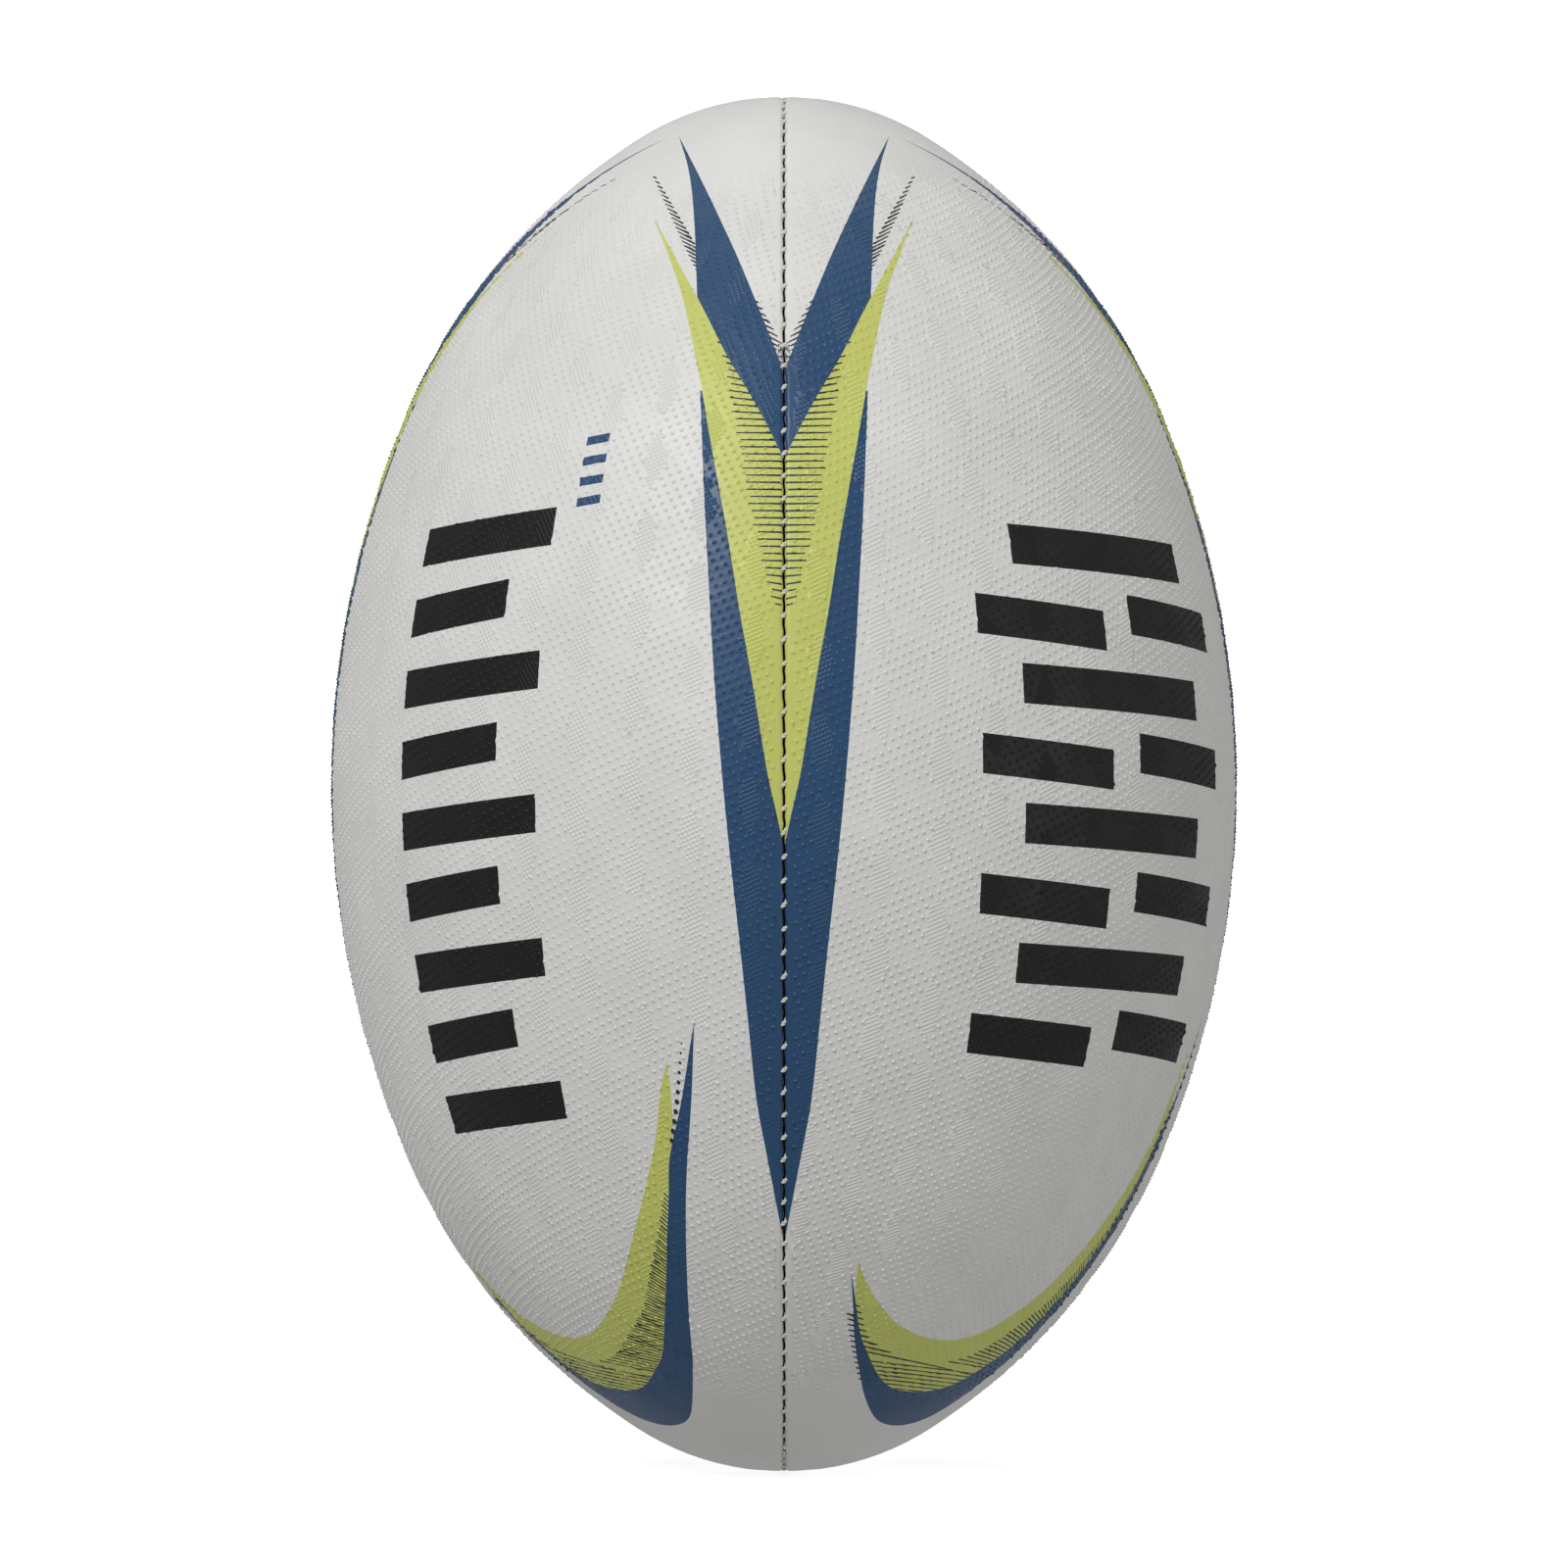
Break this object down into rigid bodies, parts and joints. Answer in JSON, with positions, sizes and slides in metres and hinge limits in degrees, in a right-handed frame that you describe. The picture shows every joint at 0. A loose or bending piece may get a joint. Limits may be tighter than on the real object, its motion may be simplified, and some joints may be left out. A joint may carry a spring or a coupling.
{
  "type": "rugby ball",
  "caption": "Size 5 rugby ball: stitched rubber panels lined with cloth plies round an air bladder with a needle valve.",
  "frame": {"origin": "centre of the ball", "axes": "+Z along the ball's long axis, upwards as it stands on a kicking tee; -Y towards the front seam; +X towards the right seam"},
  "size_m": [0.191, 0.191, 0.2898],
  "materials": {
    "cover_rubber": "matt, moulded grip",
    "ply_cloth": "woven polyester and cotton",
    "waxed_thread": "waxed",
    "bladder_rubber": "smooth",
    "valve_rubber": "smooth",
    "plug_rubber": "smooth",
    "patch_cloth": "woven"
  },
  "bodies": {
    "root": {"front_left_cover": "cover_rubber", "front_right_cover": "cover_rubber", "back_right_cover": "cover_rubber", "back_left_cover": "cover_rubber", "front_left_outer_ply": "ply_cloth", "front_left_middle_ply": "ply_cloth", "front_left_inner_ply": "ply_cloth", "front_right_outer_ply": "ply_cloth", "front_right_middle_ply": "ply_cloth", "front_right_inner_ply": "ply_cloth", "back_right_outer_ply": "ply_cloth", "back_right_middle_ply": "ply_cloth", "back_right_inner_ply": "ply_cloth", "back_left_outer_ply": "ply_cloth", "back_left_middle_ply": "ply_cloth", "back_left_inner_ply": "ply_cloth", "front_seam_thread": "waxed_thread", "right_seam_thread": "waxed_thread", "back_seam_thread": "waxed_thread", "left_seam_thread": "waxed_thread", "bladder": "bladder_rubber", "valve_seat": "valve_rubber", "valve_plug": "plug_rubber", "valve_patch": "patch_cloth"}
  },
  "joints": []
}
